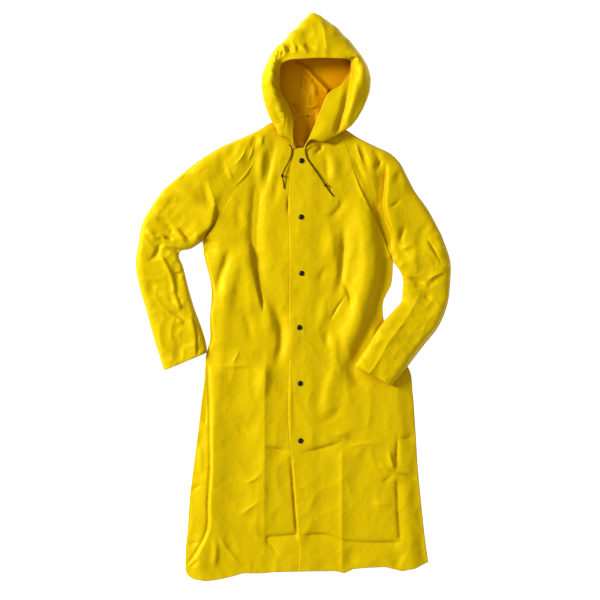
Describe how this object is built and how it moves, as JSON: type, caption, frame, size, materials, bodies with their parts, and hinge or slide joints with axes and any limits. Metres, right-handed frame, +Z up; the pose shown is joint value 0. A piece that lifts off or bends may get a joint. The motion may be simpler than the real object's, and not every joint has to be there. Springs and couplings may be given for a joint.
{
  "type": "hooded raincoat",
  "caption": "Full-length hooded raincoat laid flat with its front up: raglan sleeves, snap front, open hood with a drawcord.",
  "frame": {"origin": "bottom centre of the box round the coat as it lies on a surface", "axes": "+Z up out of the surface it lies on, +Y from the hem towards the hood, +X towards the wearer's left sleeve"},
  "size_m": [0.9086, 1.6422, 0.0648],
  "materials": {
    "shell": "yellow coated cloth, semi-gloss, with packing creases",
    "shell_inside": "inner face of the yellow coated cloth, slightly duller and warmer",
    "snap": "black, glossy, domed snap caps",
    "drawcord": "dark braided cord"
  },
  "bodies": {
    "root": {"back": "shell_inside", "front_r": "shell", "front_l": "shell", "sleeve_r": "shell", "sleeve_l": "shell", "hood_r": "shell", "hood_l": "shell", "snap_1": "snap", "snap_2": "snap", "snap_3": "snap", "snap_4": "snap", "snap_5": "snap", "snap_6": "snap", "cord_r": "drawcord", "cord_l": "drawcord", "knot_r": "drawcord", "knot_l": "drawcord"}
  },
  "joints": []
}
